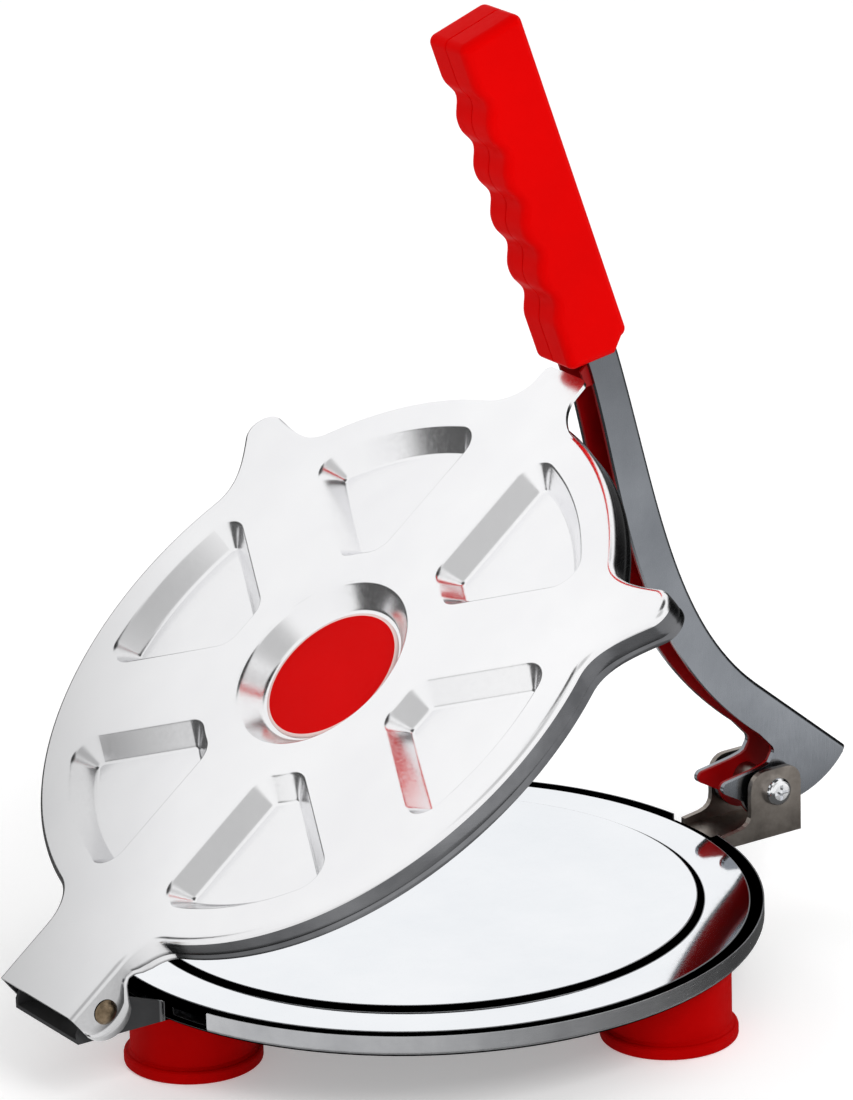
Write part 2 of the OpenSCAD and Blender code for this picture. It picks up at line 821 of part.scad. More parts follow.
module lever_lining() {
    outer = channel_half_w - channel_t;
    inner = outer - liner_t;
    color("darkred")
        from_pivot()
            difference() {
                union() {
                    intersection() {
                        slab_y(cheek_outline, -outer, outer);
                        slab_y(channel_space(channel_t), -outer, outer);
                        slab_y([grip_pt(tang_end - 3, -20), grip_pt(tang_end - 3, 40), [-90, -20],
                            [60, -20], [60, 60]], -outer, outer);
                    }
                    slab_y([grip_pt(grip_len + 0.2, tang_back + tang_depth - 3),
                        grip_pt(grip_len + 2.4, bumper_front), grip_pt(bumper_end, bumper_front),
                        grip_pt(bumper_end + 1, tang_back + tang_depth - 3)], -outer, outer);
                }
                slab_y(channel_space(channel_t + liner_t), -inner, inner);
                rod_y(bush_r + fit_gap, -outer - past, outer + past);
            }
}

module pivot_bush() {
    inner = channel_half_w - channel_t;
    color("darkgray")
        from_pivot()
            difference() {
                rod_y(bush_r, -inner, inner);
                rod_y(pivot_r + run_gap, -inner - past, inner + past);
            }
}

// ---- grip ----

// Depth of the grip at distance s from its top: crests with a row of finger hollows
first_hollow = 17.3;
function hollow_phase(s) = (s - first_hollow) / hollow_pitch;
function grip_front(s) = let (p = hollow_phase(s))
    grip_depth - (p > -0.5 && p < hollow_n - 0.5
        ? hollow_depth * pow((1 + cos(360 * p)) / 2, 1.3) : 0);

// The grip's outline, e inside its surface, in distance from its top and depth
function grip_outline(e) = let (
    corner = 2.2 - min(e, 1.6),
    n = 40)
    concat(
        arc_pts([e + corner, e + corner], corner, 270, 180, 3),
        arc_pts([e + corner, grip_front(0) - e - corner], corner, 180, 90, 3),
        [for (i = [1:n - 1]) let (s = e + 2.2 + (grip_len - 2 * e - 4.4) * i / n)
            [s, grip_front(s) - e]],
        arc_pts([grip_len - e - corner, grip_front(grip_len) - e - corner], corner, 90, 0, 3),
        [[grip_len + 2 - e, tang_back + 2]],
        arc_pts([grip_len - 1 - e - corner, e + corner], corner, 0, -90, 3));

// The near half of the grip, with a seam gap at the middle
module grip_half() {
    seam = 0.05;
    tang_room = 0.05;
    steps = reversed(round_steps(grip_edge_r));
    rings = concat(
        [at_z(reversed(grip_outline(0)), -past)],
        [for (s = steps)
            at_z(reversed(grip_outline(s[0])), grip_half_w - s[1])]);
    difference() {
        multmatrix([
            [along_grip.x, into_grip.x, 0, grip_top.x],
            [0, 0, -1, 0],
            [along_grip.y, into_grip.y, 0, grip_top.y]])
            loft(rings);
        slab_y([
            grip_pt(tang_top - tang_room, tang_back - tang_room),
            grip_pt(tang_top - tang_room, tang_back + tang_depth + tang_room),
            grip_pt(grip_len + 20, tang_back + tang_depth + tang_room),
            grip_pt(grip_len + 20, tang_back - tang_room)],
            -channel_half_w - tang_room, channel_half_w + tang_room);
        // the flat face where the two halves meet
        slab_y([[-110, 110], [-20, 110], [-20, 230], [-110, 230]], -seam, 2 * past);
    }
}

module grip_near_half() {
    color("red")
        from_pivot()
            grip_half();
}

module grip_far_half() {
    color("red")
        from_pivot()
            mirror([0, 1, 0])
                grip_half();
}

base_pan();
base_disc();
lever_clevis();
clevis_rivets();
hinge_rivet();
hinge_washers();
pivot_screw();
pivot_nut();
pivot_washers();
foot_hinge_side();
foot_near();
foot_far();
foot_screws();
foot_washers();
foot_nuts();
top_stamping();
top_disc();
centre_badge();
lever_channel();
lever_lining();
pivot_bush();
grip_near_half();
grip_far_half();
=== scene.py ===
"""Looks of the tortilla press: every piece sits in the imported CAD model's frame, in metres."""
import math

import bmesh
import bpy
from mathutils import Matrix, Vector
from mathutils.geometry import delaunay_2d_cdt

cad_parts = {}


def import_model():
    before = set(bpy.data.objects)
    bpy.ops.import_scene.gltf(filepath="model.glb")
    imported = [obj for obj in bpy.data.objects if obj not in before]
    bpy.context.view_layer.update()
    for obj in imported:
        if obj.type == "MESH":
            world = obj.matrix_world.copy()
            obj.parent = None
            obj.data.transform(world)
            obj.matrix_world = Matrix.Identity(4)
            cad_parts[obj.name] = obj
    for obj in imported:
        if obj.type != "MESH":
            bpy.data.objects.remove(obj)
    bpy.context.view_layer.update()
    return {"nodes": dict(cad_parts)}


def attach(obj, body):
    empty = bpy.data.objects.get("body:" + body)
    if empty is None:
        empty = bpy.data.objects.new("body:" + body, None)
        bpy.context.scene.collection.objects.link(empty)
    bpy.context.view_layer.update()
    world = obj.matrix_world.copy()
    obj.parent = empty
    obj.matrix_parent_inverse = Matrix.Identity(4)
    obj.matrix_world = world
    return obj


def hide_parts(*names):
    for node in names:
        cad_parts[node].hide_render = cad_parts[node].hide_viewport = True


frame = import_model()

# Lengths are in mm and angles in degrees, unless a line says otherwise.
MM = 0.001
X_SHIFT = -8.6435  # where the frame has the base's axis
HINGE = (-101.1, 26.4)  # the hinge rivet, from the base's axis and from the table
HINGE_TO_PLATE = 99.7  # from the rivet to the upper plate's centre
FACE = 6.8  # the upper plate's face, above the rivet's axis
OPEN = math.radians(38.2)  # how far the upper plate stands open at rest
PIVOT = (102.9, 32.2)  # the lever's pivot screw, from the base's axis and from the table

# ---- paths and places ----


def lerp(a, b, t):
    return a + (b - a) * t


def polar(r, degrees):
    return r * math.cos(math.radians(degrees)), r * math.sin(math.radians(degrees))


def arc(cx, cy, r, a0, a1, n):
    """n steps round (cx, cy), from angle a0 to a1."""
    points = (polar(r, lerp(a0, a1, i / n)) for i in range(n + 1))
    return [(cx + x, cy + y) for x, y in points]


def circle(r, n=120):
    return arc(0, 0, r, 0, 360, n)[:-1]


def bezier(p0, p1, p2, p3, n):
    out = []
    for i in range(n + 1):
        t = i / n
        s = 1 - t
        k = (s * s * s, 3 * s * s * t, 3 * s * t * t, t * t * t)
        out.append(tuple(sum(w * p[j] for w, p in zip(k, (p0, p1, p2, p3))) for j in (0, 1)))
    return out


def mirrored(points):
    return [(x, -y) for x, y in points]


def turned(points, degrees):
    c, s = polar(1, degrees)
    return [(x * c - y * s, x * s + y * c) for x, y in points]


def beside(points, d):
    """The path moved sideways by d, to the left of its direction."""
    out = []
    for i, p in enumerate(points):
        a, b = points[max(i - 1, 0)], points[min(i + 1, len(points) - 1)]
        tx, ty = b[0] - a[0], b[1] - a[1]
        n = math.hypot(tx, ty) or 1
        out.append((p[0] - d * ty / n, p[1] + d * tx / n))
    return out


def resample(points, step):
    """Points about step apart along a path, ends kept."""
    out = [points[0]]
    lengths = [math.dist(a, b) for a, b in zip(points, points[1:])]
    total = sum(lengths)
    n = max(1, round(total / step))
    i, passed = 0, 0.0
    for k in range(1, n):
        target = total * k / n
        while passed + lengths[i] < target:
            passed += lengths[i]
            i += 1
        t = (target - passed) / lengths[i]
        (x0, y0), (x1, y1) = points[i], points[i + 1]
        out.append((lerp(x0, x1, t), lerp(y0, y1, t)))
    return out + [points[-1]]


def rounding(r, degrees):
    """Inset and drop of an edge rounded to radius r: (r, 0) at 90 degrees and (0, r) at 0."""
    x, y = polar(1, degrees)
    return r * (1 - x), r * (1 - y)


def inside(p, loop):
    """Whether the point lies within the closed loop."""
    hit = False
    for (x0, y0), (x1, y1) in zip(loop, loop[1:] + loop[:1]):
        if (y0 > p[1]) != (y1 > p[1]) and p[0] < (x1 - x0) * (p[1] - y0) / (y1 - y0) + x0:
            hit = not hit
    return hit


def from_base(x, y, z):
    return Vector(((x + X_SHIFT) * MM, y * MM, z * MM))


def from_plate(u, y, n):
    """A point of the upper plate at rest: u and y from its centre, n above the rivet's axis."""
    u += HINGE_TO_PLATE
    c, s = math.cos(OPEN), math.sin(OPEN)
    return from_base(HINGE[0] + u * c - n * s, y, HINGE[1] + u * s + n * c)


def on_plate(points, height):
    """Points of the upper plate at a height above its face."""
    return [from_plate(x, y, FACE + height) for x, y in points]


def from_pivot(x, y, z):
    return from_base(PIVOT[0] + x, y, PIVOT[1] + z)


# ---- meshes ----


def bridge(a, b, closed=True):
    """Quads between two index rings of the same length."""
    n = len(a)
    return [(a[i], a[(i + 1) % n], b[(i + 1) % n], b[i]) for i in range(n if closed else n - 1)]


class Shell:
    """Vertices and faces of one piece, with each face's material slot."""

    def __init__(self):
        self.verts, self.faces, self.slots = [], [], []

    def ring(self, points):
        """Adds the points and returns their indices."""
        start = len(self.verts)
        self.verts += points
        return list(range(start, len(self.verts)))

    def add(self, faces, slot=0):
        self.faces += faces
        self.slots += [slot] * len(faces)

    def join(self, rings, closed=True, slot=0):
        """Quads from each ring to the next."""
        for a, b in zip(rings, rings[1:]):
            self.add(bridge(a, b, closed), slot)


def piece(name, shell, materials, body, replaces, sharp=35):
    mesh = bpy.data.meshes.new(name)
    mesh.from_pydata([tuple(v) for v in shell.verts], [], shell.faces)
    for material in materials:
        mesh.materials.append(material)
    mesh.polygons.foreach_set("material_index", shell.slots)
    bm = bmesh.new()
    bm.from_mesh(mesh)
    bmesh.ops.remove_doubles(bm, verts=bm.verts, dist=1e-7)
    bmesh.ops.recalc_face_normals(bm, faces=bm.faces)
    bm.to_mesh(mesh)
    bm.free()
    mesh.shade_smooth()
    mesh.set_sharp_from_angle(angle=math.radians(sharp))
    obj = bpy.data.objects.new(name, mesh)
    bpy.context.scene.collection.objects.link(obj)
    weighted = obj.modifiers.new("normals", "WEIGHTED_NORMAL")
    weighted.keep_sharp = True
    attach(obj, body)
    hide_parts(*replaces)


# ---- materials ----

RADIAL = "radial"
ACROSS = (0.833, -0.554, 0)  # level, from the hinge's far side to the lever's near side
UP = (0, 0, 1)


def new_material(name):
    mat = bpy.data.materials.new(name)
    mat.use_nodes = True
    return mat, mat.node_tree, mat.node_tree.nodes["Principled BSDF"]


def noise(tree, scale, detail, rough, stretch=(1, 1, 1)):
    coord = tree.nodes.new("ShaderNodeTexCoord")
    mapping = tree.nodes.new("ShaderNodeMapping")
    mapping.inputs["Scale"].default_value = stretch
    tex = tree.nodes.new("ShaderNodeTexNoise")
    tex.inputs["Scale"].default_value = scale
    tex.inputs["Detail"].default_value = detail
    tex.inputs["Roughness"].default_value = rough
    tree.links.new(coord.outputs["Object"], mapping.inputs["Vector"])
    tree.links.new(mapping.outputs["Vector"], tex.inputs["Vector"])
    return tex.outputs["Fac"]


def ramp(tree, source, stops):
    """A colour ramp through stops of (place, colour or grey)."""
    node = tree.nodes.new("ShaderNodeValToRGB")
    while len(node.color_ramp.elements) < len(stops):
        node.color_ramp.elements.new(0.5)
    for element, (at, colour) in zip(node.color_ramp.elements, stops):
        element.position = at
        element.color = (*(colour if isinstance(colour, tuple) else (colour,) * 3), 1)
    tree.links.new(source, node.inputs["Fac"])
    return node.outputs["Color"]


def bump(tree, height, strength, distance, shader):
    node = tree.nodes.new("ShaderNodeBump")
    node.inputs["Strength"].default_value = strength
    node.inputs["Distance"].default_value = distance
    tree.links.new(height, node.inputs["Height"])
    tree.links.new(node.outputs["Normal"], shader.inputs["Normal"])


def linear(rgb):
    """An sRGB colour of 0 to 255 in Blender's linear values."""
    return tuple((c / 255 / 12.92) if c <= 10 else ((c / 255 + 0.055) / 1.055) ** 2.4 for c in rgb)


def clouded(tree, cloud, dark, light):
    """A colour that drifts between dark and light."""
    return ramp(tree, cloud, [(0.3, linear(dark)), (0.7, linear(light))])


def with_painted_shade(tree, colour, along, stops):
    """The colour times a factor of painted shade that changes with the distance along a direction,
    or, where that is RADIAL, with the distance from the base's axis. Stops are (distance, factor).
    Returns the shaded colour and the factor."""
    coord = tree.nodes.new("ShaderNodeTexCoord")
    measure = tree.nodes.new("ShaderNodeVectorMath")
    measure.operation = "LENGTH" if along == RADIAL else "DOT_PRODUCT"
    if along == RADIAL:
        flat = tree.nodes.new("ShaderNodeMapping")
        flat.inputs["Location"].default_value = (-X_SHIFT * MM, 0, 0)
        flat.inputs["Scale"].default_value = (1, 1, 0)
        tree.links.new(coord.outputs["Object"], flat.inputs["Vector"])
        tree.links.new(flat.outputs["Vector"], measure.inputs[0])
    else:
        tree.links.new(coord.outputs["Object"], measure.inputs[0])
        measure.inputs[1].default_value = along
    first, last = stops[0][0], stops[-1][0]
    place = tree.nodes.new("ShaderNodeMapRange")
    place.inputs["From Min"].default_value = first * MM
    place.inputs["From Max"].default_value = last * MM
    tree.links.new(measure.outputs["Value"], place.inputs["Value"])
    shares = [((at - first) / (last - first), factor) for at, factor in stops]
    factor = ramp(tree, place.outputs["Result"], shares)
    times = tree.nodes.new("ShaderNodeVectorMath")
    times.operation = "MULTIPLY"
    tree.links.new(colour, times.inputs[0])
    tree.links.new(factor, times.inputs[1])
    return times.outputs["Vector"], factor


BRUSH_SCALE, BRUSH_BUMP = 900, 0.35
SMOOTHEST = 0.02
FLOW_SCALE, FLOW_BUMP = 700, 0.25


def metal(name, light, dark, rough, grain, stretch=(1, 1, 1), scale=60, bump_mm=0.0, tone=None):
    """Metal with cloudy tone, fine brushing and uneven polish; where tone is given, painted shade
    multiplies the colour.
    """
    mat, tree, shader = new_material(name)
    shader.inputs["Metallic"].default_value = 1.0
    colour = clouded(tree, noise(tree, scale, 5, 0.6), dark, light)
    if tone:
        colour, factor = with_painted_shade(tree, colour, *tone)
        if tone[0] == RADIAL:
            # the dark bands are places full of shade, so they don't shine
            tree.links.new(factor, shader.inputs["Metallic"])
            shader.inputs["Specular IOR Level"].default_value = 0.0
    tree.links.new(colour, shader.inputs["Base Color"])
    brush = noise(tree, BRUSH_SCALE, 3, 0.6, stretch)
    polish = ramp(tree, brush, [(0.25, max(rough - grain, SMOOTHEST)), (0.75, rough + grain)])
    tree.links.new(polish, shader.inputs["Roughness"])
    if bump_mm:
        bump(tree, brush, BRUSH_BUMP, bump_mm * MM, shader)
    return mat


def plastic(name, light, dark, rough, shine, bump_mm, scale):
    """Moulded plastic or rubber with a faint flow pattern and orange-peel surface."""
    mat, tree, shader = new_material(name)
    colour = clouded(tree, noise(tree, scale, 3, 0.5), dark, light)
    tree.links.new(colour, shader.inputs["Base Color"])
    flow = noise(tree, FLOW_SCALE, 2, 0.5)
    polish = ramp(tree, flow, [(0.3, rough * 0.85), (0.7, rough * 1.15)])
    tree.links.new(polish, shader.inputs["Roughness"])
    shader.inputs["Specular IOR Level"].default_value = shine
    bump(tree, flow, FLOW_BUMP, bump_mm * MM, shader)
    return mat


# painted shade: the face's steel is darker towards the hinge's far side
PLATE_PAINTED_SHADE = (
    ACROSS,
    [(-112, 0.56), (-101, 0.62), (-85, 0.77), (-64, 0.92), (-30, 0.97), (20, 1.0)],
)
# painted shade on the skirt: darker towards the hinge's far side, and again towards the lever's
# near side
EDGE_PAINTED_SHADE = (ACROSS, [(-112, 0.5), (-60, 0.45), (-30, 0.8), (20, 1.0), (60, 0.7)])
# painted shade: the lever is darker towards the top under the grip, and a little at the bottom
LEVER_PAINTED_SHADE = (UP, [(25, 0.94), (45, 1.0), (80, 0.86), (120, 0.84), (165, 0.46)])
# painted shade: the groove at the hem is painted black, and the tongue outside the skirt is
# painted dark for the shade it lies in
PAN_PAINTED_SHADE = (
    RADIAL,
    [(80, 1), (82.2, 1), (82.5, 0), (84.6, 0), (84.95, 1), (85.3, 1), (86.2, 0.1), (88, 0.1)],
)
# painted dark reflection and shade: the step round the working face is painted black as a dark
# reflection, and the groove at the hem black as shade
DISC_PAINTED_SHADE = (
    RADIAL,
    [(60, 1), (68.2, 1), (68.5, 0), (70.2, 0), (70.5, 1), (81.2, 1), (81.5, 0), (86, 0)],
)
PAN_STEEL = {
    "light": (196, 197, 199), "dark": (168, 169, 172), "rough": 0.22, "grain": 0.06,
    "stretch": (0.25, 0.25, 4), "scale": 45, "bump_mm": 0.02,
}

SATIN = metal(
    "steel_satin", (250, 250, 251), (241, 241, 243), rough=0.2, grain=0.05,
    scale=18, bump_mm=0.01, tone=PLATE_PAINTED_SHADE,
)
# the skirt: the face's steel painted much darker, as shade
EDGE = metal(
    "steel_edge", (150, 151, 154), (92, 93, 96), rough=0.24, grain=0.06,
    stretch=(0.3, 0.3, 3), scale=26, bump_mm=0.02, tone=EDGE_PAINTED_SHADE,
)
PAN = metal("steel_pan", **PAN_STEEL, tone=PAN_PAINTED_SHADE)
SKIRT = metal("steel_skirt", **PAN_STEEL)
DISC = metal(
    "steel_disc", (242, 244, 247), (235, 238, 242), rough=0.06, grain=0.02,
    scale=30, tone=DISC_PAINTED_SHADE,
)
MIRROR = metal("steel_mirror", (247, 247, 248), (240, 240, 242), 0.06, 0.02, scale=30)
DULL = metal(
    "steel_dull", (170, 162, 154), (126, 119, 113), rough=0.36, grain=0.08,
    scale=120, bump_mm=0.04,
)
LEVER = metal(
    "steel_lever", (158, 162, 168), (132, 136, 142), rough=0.24, grain=0.06,
    stretch=(6, 6, 0.4), scale=30, bump_mm=0.02, tone=LEVER_PAINTED_SHADE,
)
CHROME = metal("chrome_screw", (248, 249, 251), (236, 237, 239), 0.12, 0.04, scale=200)
BRASS = metal(
    "brass_rivet", (142, 124, 102), (98, 84, 66), rough=0.3, grain=0.08,
    scale=500, bump_mm=0.03,
)

# name, light and dark colour, roughness, shine, bump and the cloud's scale
GRIP = plastic("grip_red", (214, 0, 0), (207, 0, 0), 0.4, 0.02, 0.02, 40)
FOOT = plastic("rubber_red", (178, 1, 1), (162, 0, 0), 0.5, 0.02, 0.06, 60)
LINING = plastic("lining_red", (158, 2, 6), (126, 1, 3), 0.4, 0.2, 0.03, 60)
BADGE = plastic("badge_red", (214, 0, 1), (208, 0, 0), 0.4, 0.03, 0.01, 40)
BORDER = plastic("badge_border", (240, 214, 210), (228, 196, 192), 0.4, 0.2, 0.02, 90)
BLACK = plastic("rubber_black", (34, 34, 36), (22, 22, 24), 0.6, 0.2, 0.05, 200)

# ---- upper plate ----

TOP_R, SKIRT_H, SHOULDER, SHEET = 82.6, 8.4, 2.0, 1.0
RIM_STEP = 1.6
SIDE_LUG = {"rim": TOP_R, "tip": 101.3, "half_w": 5.7, "corner": 5.4, "spread": 12,
            "flare": 18, "flank": 0.5, "n_curve": 18, "n_arc": 12}
TONGUE = {"rim": TOP_R - 1, "tip": 94.5, "half_w": 8.2, "corner": 2, "spread": 13,
          "flare": 2, "flank": 3, "n_curve": 14, "n_arc": 6}
TONGUE_ROOT = 12.6  # half the angle that the tongue's root takes under the rim
TAB_TIP, TAB_STRAIGHT, TAB_HALF_W, TAB_SPREAD = 107.0, 90.0, 16.5, 17
# how far the curves from the rim into a lug or the tab hold their first and last direction
ROOT_PULL, FLANK_PULL = 0.42, 0.5
# the skirt's edge drops into the hinge ears past this place and within this half width
EARS_FROM, EARS_HALF_W = -84.5, 19
EAR_R, EAR_ROUND = 7.4, 5.0
# the lower edge from the ear's round to the skirt: distance from the rivet along the plate,
# and height above the rivet's axis
EAR_SWEEP = [(EAR_ROUND, -math.sqrt(EAR_R**2 - EAR_ROUND**2)), (6.6, -2.6), (8.0, -0.3),
             (9.6, 0.85), (11.2, 0.5), (13.0, -0.9), (15.2, -1.6)]
# the line pressed in above the hem: inset, and share of the skirt's height
HEM_LINE = [(0, 0.45), (0.02, 0.6), (0.28, 0.68), (0.28, 0.72), (0.04, 0.8), (0, 0.88)]
# the skirt's lower lip: inset, and height above the lower edge
LIP = [(0.12, 0.12), (0.4, 0), (0.9, 0), (1, 0.1)]
# the skirt's inside, up to the underside of the face: inset, and height above the face
SKIRT_INSIDE = [(1, -SHOULDER - 0.1), (1.3, -1.3), (2, -SHEET)]
FACE_INSET = SKIRT_INSIDE[-1][0]
# the skirt past this place takes the darker copy of the face's steel, painted shade
SKIRT_SHADE_FROM = -79.5  # the ears keep the face's steel

POCKET_R1, POCKET_R2, POCKET_CORNER = 34.6, 72.8, 5.8
SPOKE_HALF_W = 12.0
HALF_PITCH = 30.0
POCKET_ANGLES = range(30, 390, 60)
# the round recess, and how near the centre a flat face's middle may come to it
RECESS_R, RECESS_CLEAR = 25.2, 25.0
# a pressed wall starts this far outside its outline, takes this width and goes this deep
WALL_LIP, WALL_W, POCKET_DEPTH = 1.2, 6.0, 5.5
WALL_STEPS = [0, 0.03, 0.06, 0.09, 0.12, 0.15, 0.18, 0.22, 0.3, 0.5,
              0.7, 0.78, 0.82, 0.85, 0.88, 0.91, 0.94, 0.97, 1]
WALL_SOFT = 0.2


def lug_outline(e, rim, tip, half_w, corner, spread, flare, flank, n_curve, n_arc):
    """A lug along +X with flared flanks and round corners, e inside its surface."""
    r = max(corner - e, 0.3)
    cx, cy = tip - e - r, half_w - e - r
    foot = polar(rim - e, spread)
    root_x, root_y = polar(1, spread)
    back_x, back_y = polar(1, flare)
    start = (cx + r * back_y - flank * back_x, cy + r * back_x + flank * back_y)
    reach = start[0] - foot[0]
    upper = bezier(
        foot,
        (foot[0] + ROOT_PULL * reach * root_y, foot[1] - ROOT_PULL * reach * root_x),
        (start[0] - FLANK_PULL * reach * back_x, start[1] + FLANK_PULL * reach * back_y),
        start,
        n_curve,
    )
    upper += arc(cx, cy, r, 90 - flare, 0, n_arc)
    return mirrored(upper) + upper[::-1]


def tab_outline(e):
    """The hinge tab along +X: straight flanks that end in a plain cut."""
    half_w = TAB_HALF_W - e
    foot = polar(TOP_R - e, TAB_SPREAD)
    root_x, root_y = polar(1, TAB_SPREAD)
    reach = TAB_STRAIGHT - foot[0]
    upper = bezier(
        foot,
        (foot[0] + ROOT_PULL * reach * root_y, foot[1] - ROOT_PULL * reach * root_x),
        (TAB_STRAIGHT - FLANK_PULL * reach, half_w),
        (TAB_STRAIGHT, half_w),
        24,
    )
    upper += [(lerp(TAB_STRAIGHT, TAB_TIP, i / 44), half_w) for i in range(1, 45)]
    return mirrored(upper) + upper[::-1]


def plate_outline(e):
    """The plate's edge, e inside its surface, anticlockwise from the lug at -60 degrees."""
    side = lug_outline(e, **SIDE_LUG)
    spread = SIDE_LUG["spread"]
    lugs = [(-60, spread, side), (60, spread, side), (180, TAB_SPREAD, tab_outline(e))]
    out = []
    for i, (angle, spread, points) in enumerate(lugs):
        out += turned(points, angle)
        next_angle, next_spread, _ = lugs[(i + 1) % len(lugs)]
        a0, a1 = angle + spread, next_angle - next_spread
        if a1 < a0:
            a1 += 360
        n = int((a1 - a0) / RIM_STEP)
        out += [polar(TOP_R - e, lerp(a0, a1, k / n)) for k in range(1, n)]
    return out


def skirt_bottom(u, y):
    """Height of the skirt's lower edge above the face: level, but for the tab's ears."""
    if u > EARS_FROM or abs(y) > EARS_HALF_W:
        return -SKIRT_H
    d = u + HINGE_TO_PLATE
    if d < EAR_ROUND:
        return -FACE - math.sqrt(max(EAR_R**2 - d * d, 0.0))
    for (a, za), (b, zb) in zip(EAR_SWEEP, EAR_SWEEP[1:]):
        if d <= b:
            return lerp(za - FACE, zb - FACE, (d - a) / (b - a))
    return -SKIRT_H


def pocket_outline(inset):
    """A pocket between two spokes, round +X, with its walls inset towards its middle."""
    r = POCKET_CORNER - inset
    side = SPOKE_HALF_W + POCKET_CORNER
    x0 = math.sqrt((POCKET_R1 + POCKET_CORNER) ** 2 - side * side)
    x1 = math.sqrt((POCKET_R2 - POCKET_CORNER) ** 2 - side * side)
    a0 = math.degrees(math.atan2(side, x0))
    a1 = math.degrees(math.atan2(side, x1))
    half = arc(0, 0, POCKET_R1 + inset, HALF_PITCH, a0, 4)[:-1]
    half += arc(x0, side, r, 180 + a0, 270, 14)
    half += [(lerp(x0, x1, k / 12), side - r) for k in range(1, 12)]
    half += arc(x1, side, r, -90, a1, 16)
    half += arc(0, 0, POCKET_R2 - inset, a1, HALF_PITCH, 12)[1:]
    half = turned(half, -HALF_PITCH)
    return half + mirrored(half[1:-1])[::-1]


def wall_drop(t):
    """Share of a pressed wall's depth at t of its width: straight between two small bends."""
    if t > 0.5:
        return 1 - wall_drop(1 - t)
    if t < WALL_SOFT:
        return t * t / (2 * WALL_SOFT * (1 - WALL_SOFT))
    return (t - WALL_SOFT / 2) / (1 - WALL_SOFT)


def plate_edge(shell):
    """The rounded shoulder, the skirt with its hem line, and the skirt's inside."""
    base = plate_outline(0)
    n = len(base)
    lows = [skirt_bottom(x, y) for x, y in base]

    def ring(e, heights):
        edge = zip(plate_outline(e), heights)
        return shell.ring([from_plate(x, y, FACE + z) for (x, y), z in edge])

    shoulder = [rounding(SHOULDER, a) for a in range(90, -1, -15)]
    rings = [ring(e, [-drop] * n) for e, drop in shoulder]
    rings += [ring(e, [lerp(-SHOULDER, low, t) for low in lows]) for e, t in HEM_LINE]
    rings += [ring(e, [low + above for low in lows]) for e, above in LIP]
    rings += [ring(e, [height] * n) for e, height in SKIRT_INSIDE]

    at_tip = [x < 0.1 - TAB_TIP for x, _ in base]
    cut = next(k for k in range(n) if at_tip[k] and at_tip[(k + 1) % n])
    for level, (a, b) in enumerate(zip(rings, rings[1:])):
        for k, quad in enumerate(bridge(a, b)):
            if k != cut:
                # slot 1 is the skirt's copy of the face's steel, painted darker as shade
                skirt = level >= len(shoulder) - 1 and base[k][0] > SKIRT_SHADE_FROM
                shell.add([quad], int(skirt))
    # the plain cut at the end of the tab
    after = (cut + 1) % n
    shell.add([[r[cut] for r in rings] + [r[after] for r in reversed(rings)]], 1)


def plate_face(shell):
    """The face and its underside, with the six pockets and the round recess pressed in."""
    pressings = [
        [turned(pocket_outline(WALL_W * t - WALL_LIP), angle) for t in WALL_STEPS]
        for angle in POCKET_ANGLES
    ]
    pockets = [outlines[0] for outlines in pressings]
    pressings.append([circle(RECESS_R - WALL_W * t) for t in WALL_STEPS])
    rim = plate_outline(FACE_INSET)
    points, edges = [], []
    for loop in (rim, *pockets, pressings[-1][0]):
        first, n = len(points), len(loop)
        points += loop
        edges += [(first + k, first + (k + 1) % n) for k in range(n)]
    points, _, cells, *_ = delaunay_2d_cdt([Vector(p) for p in points], edges, [], 0, 1e-6)

    def is_flat(cell):
        middle = sum((points[v] for v in cell), Vector((0, 0))) / len(cell)
        if math.hypot(*middle) < RECESS_CLEAR or not inside(middle, rim):
            return False
        return not any(inside(middle, pocket) for pocket in pockets)

    cells = [cell for cell in cells if is_flat(cell)]
    for height, order in ((0.0, 1), (-SHEET, -1)):
        flat = shell.ring(on_plate(points, height))
        shell.add([[flat[v] for v in cell[::order]] for cell in cells])
        for outlines in pressings:
            rings = [
                shell.ring(on_plate(outline, height - POCKET_DEPTH * wall_drop(t)))
                for outline, t in zip(outlines, WALL_STEPS)
            ]
            shell.join(rings)
            shell.add([rings[-1]])


def front_tongue(shell):
    """The flat tongue at the front, cut from the same sheet."""
    loop = lug_outline(0, **TONGUE) + arc(0, 0, TOP_R - SHOULDER, TONGUE_ROOT, -TONGUE_ROOT, 20)
    top = shell.ring(on_plate(loop, 0.0))
    bottom = shell.ring(on_plate(loop, -SHEET))
    shell.add([top, bottom[::-1]])
    shell.join([top, bottom])


def upper_plate():
    shell = Shell()
    plate_edge(shell)
    plate_face(shell)
    front_tongue(shell)
    return shell


piece("upper_plate", upper_plate(), [SATIN, EDGE], "top_plate", ("top_stamping",))

# radius and height of the badge's border, from its foot to its face
BADGE_BORDER = [(18.8, 0), (18.8, 0.3), (18.65, 0.45), (18.4, 0.5), (18.0, 0.5)]


def badge():
    """A flat disc on the recess's floor, with a narrow bevelled border."""
    shell = Shell()
    rings = [shell.ring(on_plate(circle(r, 160), z - POCKET_DEPTH)) for r, z in BADGE_BORDER]
    shell.join(rings, slot=1)
    shell.add([rings[-1], rings[0][::-1]])
    return shell


piece("badge", badge(), [BADGE, BORDER], "top_plate", ("centre_badge",))

# ---- lever ----

# the grip's top corner from the pivot, and its directions: along it, and in from its back
GRIP_TOP = (-72.5, 215.0)
GRIP_SLOPE = math.radians(70.57)
ALONG = (math.cos(GRIP_SLOPE), -math.sin(GRIP_SLOPE))
INTO = (-math.sin(GRIP_SLOPE), -math.cos(GRIP_SLOPE))


def grip_pt(s, w):
    return (GRIP_TOP[0] + s * ALONG[0] + w * INTO[0], GRIP_TOP[1] + s * ALONG[1] + w * INTO[1])


